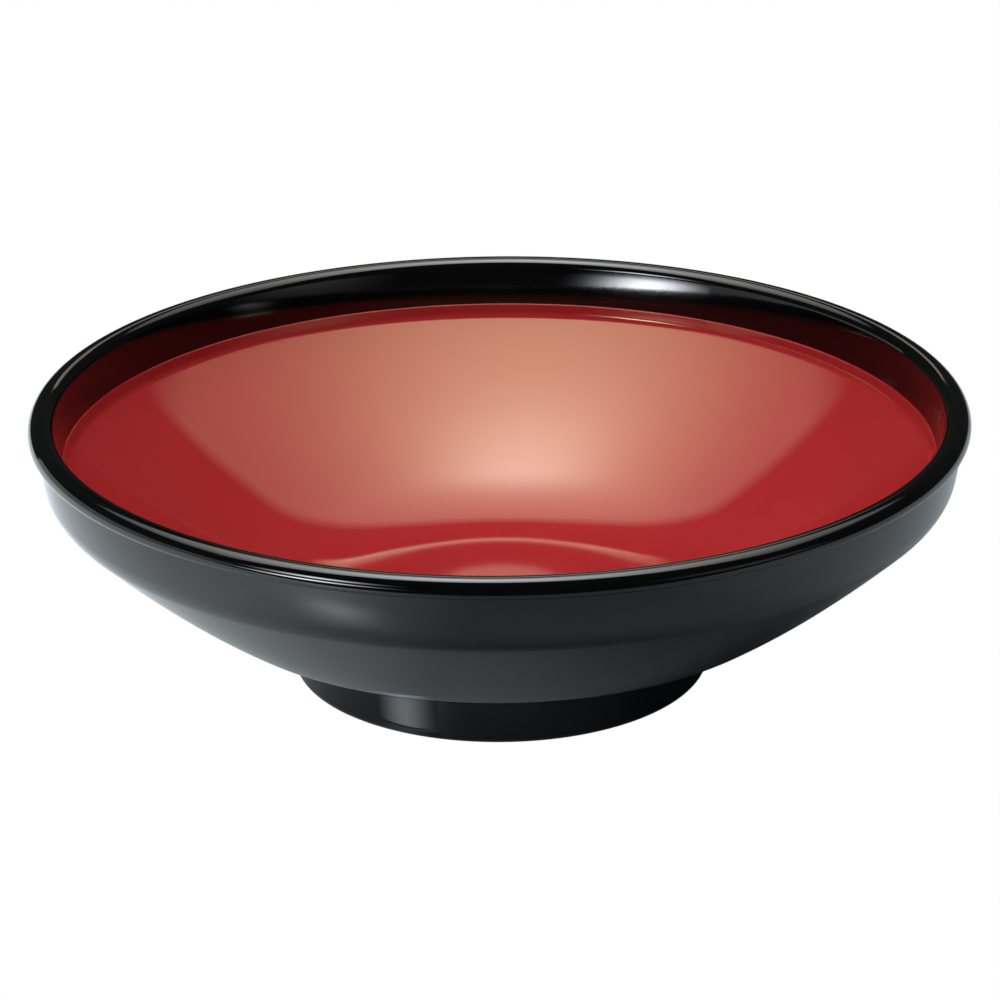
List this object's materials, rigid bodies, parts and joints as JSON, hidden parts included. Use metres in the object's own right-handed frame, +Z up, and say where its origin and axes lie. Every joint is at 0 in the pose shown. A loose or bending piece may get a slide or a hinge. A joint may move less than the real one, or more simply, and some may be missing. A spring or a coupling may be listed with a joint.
{
  "type": "lacquered bowl",
  "caption": "Wide shallow turned bowl on a low foot, black lacquer outside with a beaded rim and deep black collar, red lacquer inside.",
  "frame": {"origin": "centre of the circle that the foot ring stands on", "axes": "+Z up along the bowl's axis of rotation, out of its mouth; X and Y are any two level directions"},
  "size_m": [0.24, 0.24, 0.0717],
  "materials": {
    "bare_wood": "bare, hidden under the lacquer",
    "black_lacquer": "polished black lacquer",
    "red_lacquer": "satin vermilion lacquer"
  },
  "bodies": {
    "root": {"turned_core": "bare_wood", "outer_lacquer": "black_lacquer", "inner_lacquer": "red_lacquer", "rim_ring": "black_lacquer", "foot_ring": "black_lacquer", "base_lacquer": "black_lacquer"}
  },
  "joints": []
}
